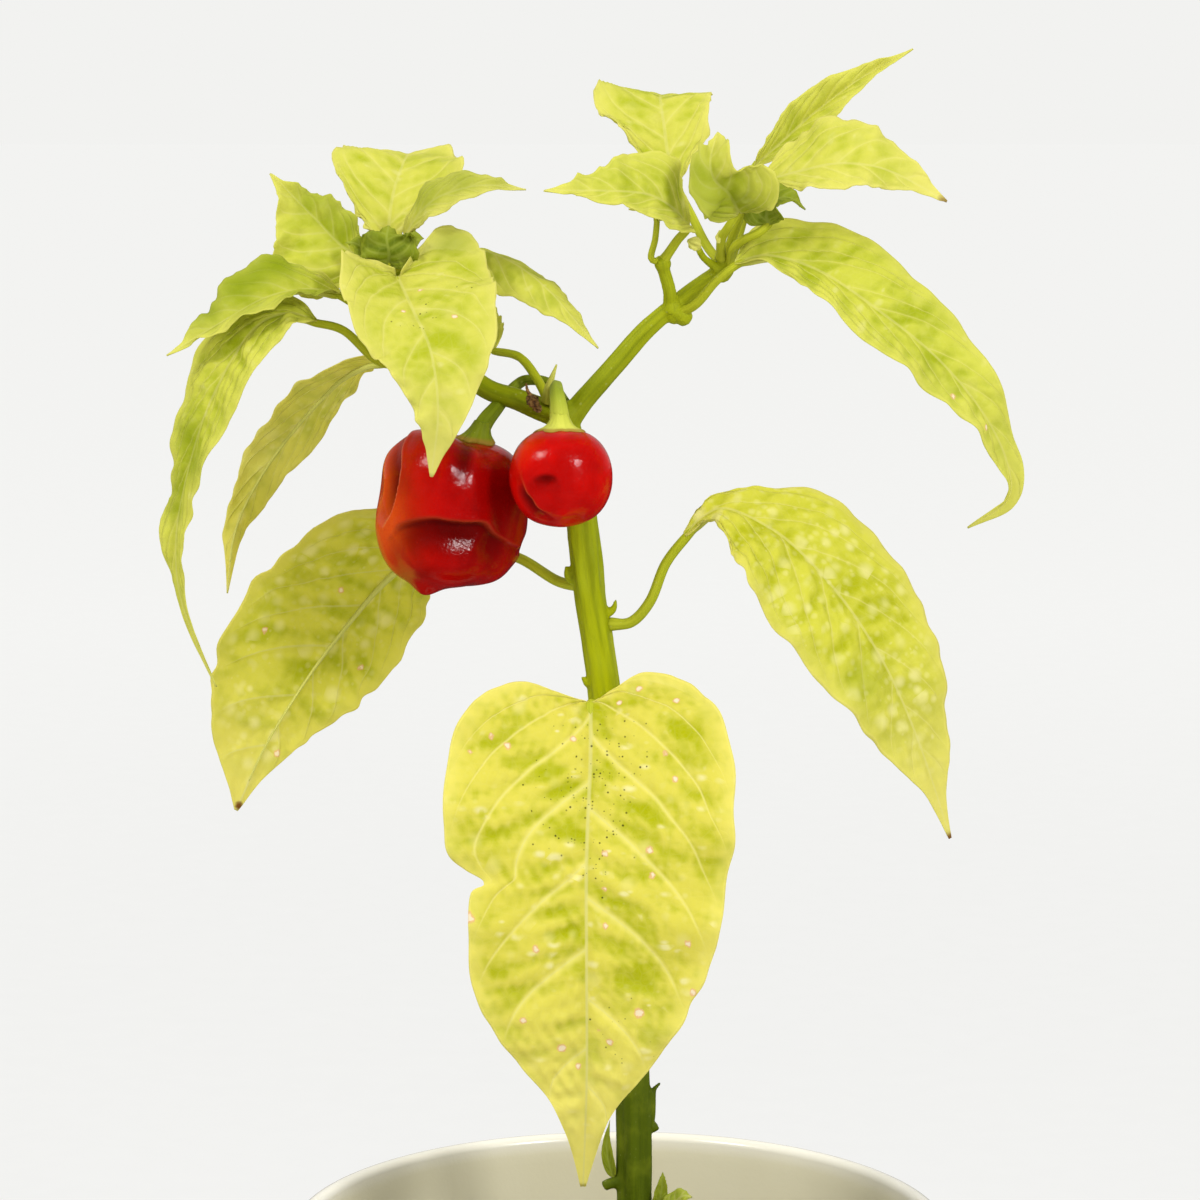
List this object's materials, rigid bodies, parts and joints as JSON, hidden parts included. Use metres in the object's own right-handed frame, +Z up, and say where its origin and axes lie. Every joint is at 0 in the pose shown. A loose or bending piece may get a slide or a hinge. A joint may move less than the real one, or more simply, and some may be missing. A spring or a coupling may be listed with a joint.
{
  "type": "potted chilli pepper plant",
  "caption": "Chilli pepper plant with ripe red fruits and drooping yellow-green leaves on a forked stem, rooted in soil in a round, tapered cream pot.",
  "frame": {"origin": "the middle of the pot's flat foot, on the surface it stands on", "axes": "+Z up along the stem, the side seen in the picture faces -Y, +X to the right in the picture"},
  "size_m": [0.2264, 0.18, 0.4783],
  "materials": {
    "pot": "glossy cream glaze",
    "soil": "loose, moist and crumbly",
    "stem": "green bark, ridged, satin",
    "leaf": "yellow-green, mottled, satin",
    "young_leaf": "dark green, satin",
    "fruit": "glossy red skin",
    "calyx": "yellow-green, satin",
    "dry_flower": "dry and brown",
    "bud": "pale yellow, satin"
  },
  "bodies": {
    "root": {"pot": "pot", "soil": "soil", "stem": "stem", "leaf_front_low": "leaf", "leaf_right_low": "leaf", "leaf_left_low": "leaf", "leaf_front_left": "leaf", "leaf_left_droop": "leaf", "leaf_back_droop": "leaf", "leaf_left_out": "leaf", "leaf_left_up": "leaf", "leaf_left_back": "leaf", "leaf_left_crest": "leaf", "leaf_left_inner": "leaf", "leaf_left_hidden": "leaf", "leaf_right_back": "leaf", "leaf_right_inner": "leaf", "leaf_right_centre": "leaf", "leaf_right_top": "leaf", "leaf_right_out": "leaf", "leaf_right_droop": "leaf", "leaf_right_young": "young_leaf", "leaf_right_small": "leaf", "leaf_left_tuft": "young_leaf", "fruit_large": "fruit", "calyx_large": "calyx", "fruit_small": "fruit", "calyx_small": "calyx", "flower_scar": "dry_flower", "pale_bud": "bud"}
  },
  "joints": []
}
